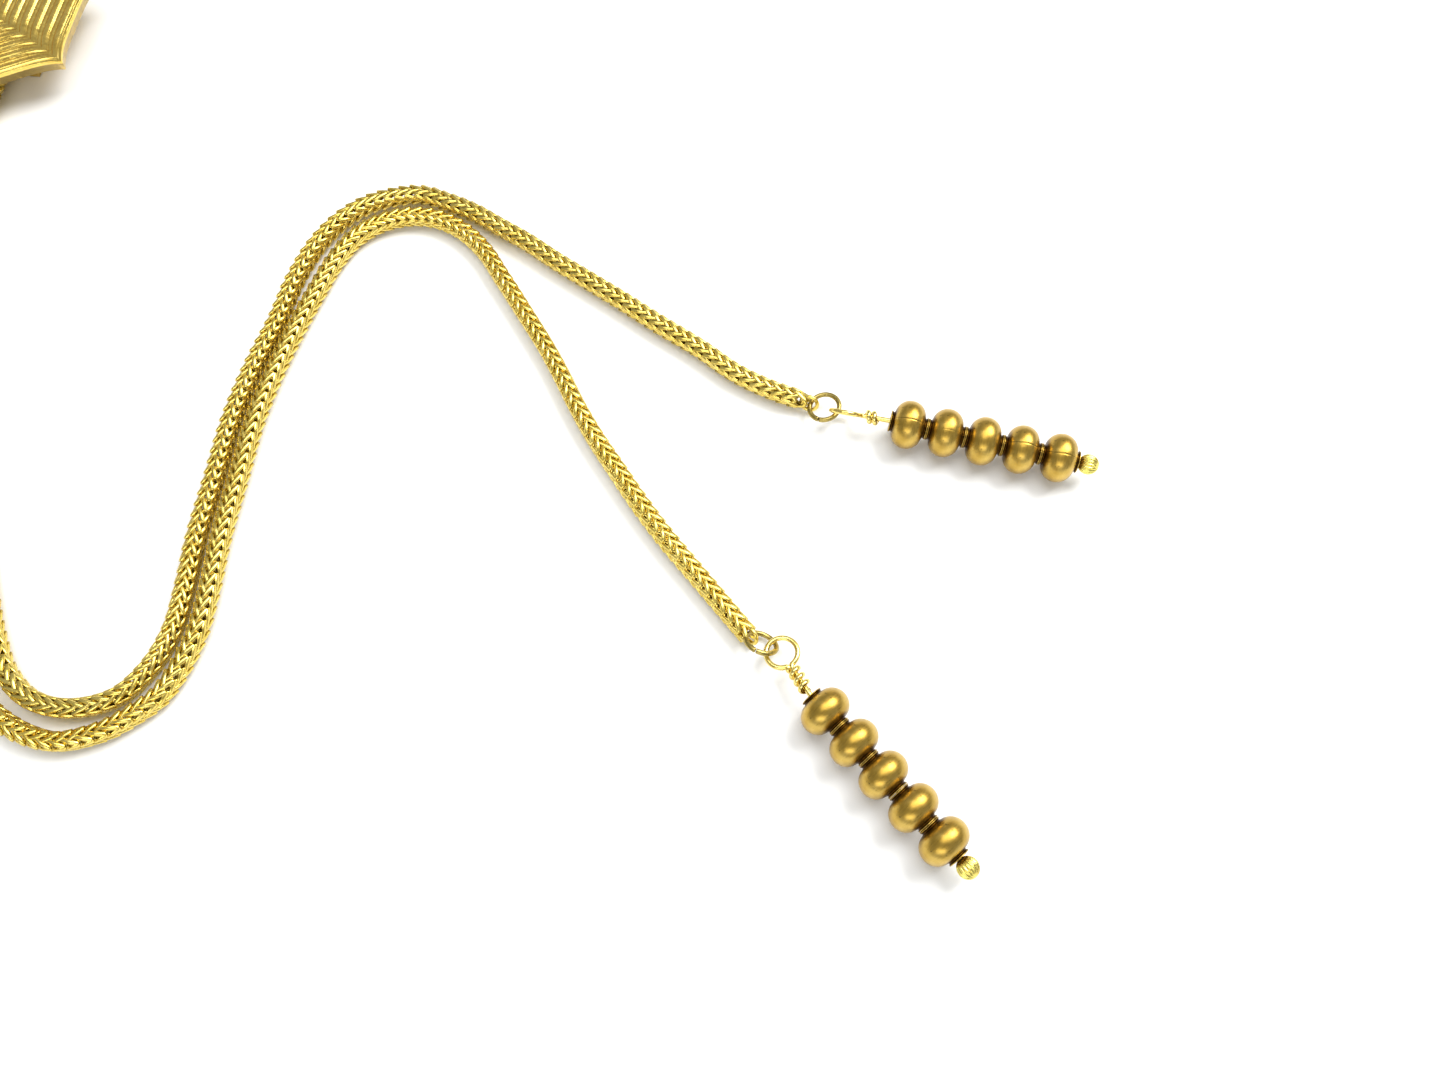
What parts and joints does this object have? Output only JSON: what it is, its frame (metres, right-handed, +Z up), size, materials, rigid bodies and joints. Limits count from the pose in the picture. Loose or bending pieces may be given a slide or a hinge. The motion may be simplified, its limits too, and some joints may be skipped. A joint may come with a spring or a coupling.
{
  "type": "slide chain",
  "caption": "Doubled foxtail chain whose two strands run through a ribbed six-sided slide and end in jump rings, wrapped headpins and rows of saucer beads.",
  "frame": {"origin": "middle of the slide's flat resting face, which lies on the surface with the chain", "axes": "+Z up from the surface, +Y along the slide's travel towards the neck loop, +X to the right seen from above"},
  "size_m": [0.2131, 0.2069, 0.0098],
  "materials": {
    "chain_gold": "polished yellow gold plate with darker recesses",
    "antique_brass": "satin antiqued brass, fine circular brushing, dark brown at the necks",
    "aged_brass": "satin aged brass",
    "bright_wire": "bright drawn wire",
    "fluted_gold": "fluted, glittering gold plate",
    "polished_gold": "polished gold plate",
    "slide_brass": "satin brass",
    "spring_steel": "spring temper, satin"
  },
  "bodies": {
    "chain": {"strand_a": "chain_gold", "strand_b": "chain_gold", "neck_coil": "chain_gold", "end_link_a": "chain_gold", "end_link_b": "chain_gold"},
    "ring_a": {"jump_ring_a": "aged_brass"},
    "ring_b": {"jump_ring_b": "aged_brass"},
    "tassel_a": {"headpin_a": "bright_wire", "ball_end_a": "fluted_gold"},
    "tassel_b": {"headpin_b": "bright_wire", "ball_end_b": "fluted_gold"},
    "bead_a1": {"bead_a1": "antique_brass"},
    "bead_a2": {"bead_a2": "antique_brass"},
    "bead_a3": {"bead_a3": "antique_brass"},
    "bead_a4": {"bead_a4": "antique_brass"},
    "bead_a5": {"bead_a5": "antique_brass"},
    "bead_b1": {"bead_b1": "antique_brass"},
    "bead_b2": {"bead_b2": "antique_brass"},
    "bead_b3": {"bead_b3": "antique_brass"},
    "bead_b4": {"bead_b4": "antique_brass"},
    "bead_b5": {"bead_b5": "antique_brass"},
    "slide": {"slide_front": "polished_gold", "slide_back_plate": "slide_brass", "guide_block": "slide_brass", "tension_spring": "spring_steel", "block_rivets": "slide_brass"}
  },
  "joints": [
    {"name": "slide_travel", "type": "slide", "parent": "chain", "child": "slide", "axis": [0, 1, 0], "range_m": [-0.01, 0.01]},
    {"name": "ring_a_swing", "type": "hinge", "parent": "chain", "child": "ring_a", "pos_m": [0.1464, -0.05786, 0.00169], "axis": [0, 0, 1], "range_deg": [-15, 20]},
    {"name": "tassel_a_lift", "type": "hinge", "parent": "ring_a", "child": "tassel_a", "pos_m": [0.15057, -0.05921, 0.00271], "axis": [-0.1392, -0.9903, 0], "range_deg": [0, 60]},
    {"name": "ring_b_swing", "type": "hinge", "parent": "chain", "child": "ring_b", "pos_m": [0.14063, -0.0948, 0.00171], "axis": [0, 0, 1], "range_deg": [-25, 25]},
    {"name": "tassel_b_swing", "type": "hinge", "parent": "ring_b", "child": "tassel_b", "pos_m": [0.14446, -0.097, 0.00225], "axis": [0, 0, 1], "range_deg": [-10, 40]},
    {"name": "bead_a1_spin", "type": "hinge", "parent": "tassel_a", "child": "bead_a1", "pos_m": [0.161, -0.0609, 0.0036], "axis": [0.9903, -0.1392, 0], "continuous": true},
    {"name": "bead_a2_spin", "type": "hinge", "parent": "tassel_a", "child": "bead_a2", "pos_m": [0.16655, -0.06168, 0.0036], "axis": [0.9903, -0.1392, 0], "continuous": true},
    {"name": "bead_a3_spin", "type": "hinge", "parent": "tassel_a", "child": "bead_a3", "pos_m": [0.17209, -0.06246, 0.0036], "axis": [0.9903, -0.1392, 0], "continuous": true},
    {"name": "bead_a4_spin", "type": "hinge", "parent": "tassel_a", "child": "bead_a4", "pos_m": [0.17764, -0.06324, 0.0036], "axis": [0.9903, -0.1392, 0], "continuous": true},
    {"name": "bead_a5_spin", "type": "hinge", "parent": "tassel_a", "child": "bead_a5", "pos_m": [0.18318, -0.06402, 0.0036], "axis": [0.9903, -0.1392, 0], "continuous": true},
    {"name": "bead_b1_spin", "type": "hinge", "parent": "tassel_b", "child": "bead_b1", "pos_m": [0.1518, -0.105, 0.0036], "axis": [0.7314, -0.682, 0], "continuous": true},
    {"name": "bead_b2_spin", "type": "hinge", "parent": "tassel_b", "child": "bead_b2", "pos_m": [0.1559, -0.10882, 0.0036], "axis": [0.7314, -0.682, 0], "continuous": true},
    {"name": "bead_b3_spin", "type": "hinge", "parent": "tassel_b", "child": "bead_b3", "pos_m": [0.15999, -0.11264, 0.0036], "axis": [0.7314, -0.682, 0], "continuous": true},
    {"name": "bead_b4_spin", "type": "hinge", "parent": "tassel_b", "child": "bead_b4", "pos_m": [0.16409, -0.11646, 0.0036], "axis": [0.7314, -0.682, 0], "continuous": true},
    {"name": "bead_b5_spin", "type": "hinge", "parent": "tassel_b", "child": "bead_b5", "pos_m": [0.16818, -0.12028, 0.0036], "axis": [0.7314, -0.682, 0], "continuous": true}
  ]
}
